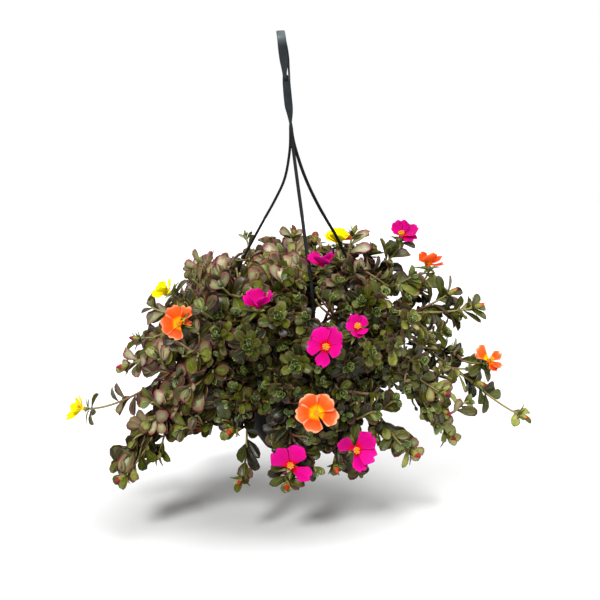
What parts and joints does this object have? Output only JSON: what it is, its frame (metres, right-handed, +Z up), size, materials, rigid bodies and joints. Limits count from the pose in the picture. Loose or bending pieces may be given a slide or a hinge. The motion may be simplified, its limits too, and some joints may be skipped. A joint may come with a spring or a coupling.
{
  "type": "portulaca hanging basket",
  "caption": "Trailing portulaca in bloom in a round plastic hanging pot, on a three-legged plastic hanger that ends in a looped strap.",
  "frame": {"origin": "middle of the inside of the top of the hanger's loop, where the hook bears", "axes": "+Z up against the pull of the hook, the pot hangs towards -Z; -Y faces the viewer of the picture and +X is the viewer's right"},
  "size_m": [0.5, 0.4037, 0.4715],
  "materials": {
    "black_plastic": "satin",
    "hanger_plastic": "satin",
    "potting_soil": "matte",
    "leaves": "satin",
    "petals_magenta": "matte",
    "petals_orange": "matte",
    "petals_yellow": "matte",
    "stamens": "matte"
  },
  "bodies": {
    "root": {"pot": "black_plastic", "soil": "potting_soil", "hanger": "hanger_plastic", "stem_low_left": "leaves", "stem_left": "leaves", "stem_left_high": "leaves", "stem_left_top": "leaves", "stem_top_left": "leaves", "stem_front_left": "leaves", "stem_front_left_high": "leaves", "stem_front_low_left": "leaves", "stem_front_stem": "leaves", "stem_front_low": "leaves", "stem_front_bottom": "leaves", "stem_front_bottom_right": "leaves", "stem_front_right": "leaves", "stem_front_right_high": "leaves", "stem_right_front": "leaves", "stem_right_low": "leaves", "stem_right": "leaves", "stem_right_high": "leaves", "stem_top_right": "leaves", "stem_top_stem": "leaves", "stem_top_back": "leaves", "stem_back_left": "leaves", "stem_back_right": "leaves", "petals_front": "petals_magenta", "petals_front_small": "petals_magenta", "petals_front_high": "petals_magenta", "petals_top": "petals_magenta", "petals_top_yellow": "petals_yellow", "petals_top_orange": "petals_orange", "petals_tall": "petals_magenta", "petals_right_orange": "petals_orange", "petals_far_right": "petals_orange", "petals_front_orange": "petals_orange", "petals_bottom_left": "petals_magenta", "petals_bottom_right": "petals_magenta", "petals_left_orange": "petals_orange", "petals_left_yellow": "petals_yellow", "petals_far_left": "petals_yellow", "petals_back_magenta": "petals_magenta", "petals_back_orange": "petals_orange", "stamens_front": "stamens", "stamens_front_small": "stamens", "stamens_front_high": "stamens", "stamens_top": "stamens", "stamens_top_yellow": "stamens", "stamens_top_orange": "stamens", "stamens_tall": "stamens", "stamens_right_orange": "stamens", "stamens_far_right": "stamens", "stamens_front_orange": "stamens", "stamens_bottom_left": "stamens", "stamens_bottom_right": "stamens", "stamens_left_orange": "stamens", "stamens_left_yellow": "stamens", "stamens_far_left": "stamens", "stamens_back_magenta": "stamens", "stamens_back_orange": "stamens"}
  },
  "joints": []
}
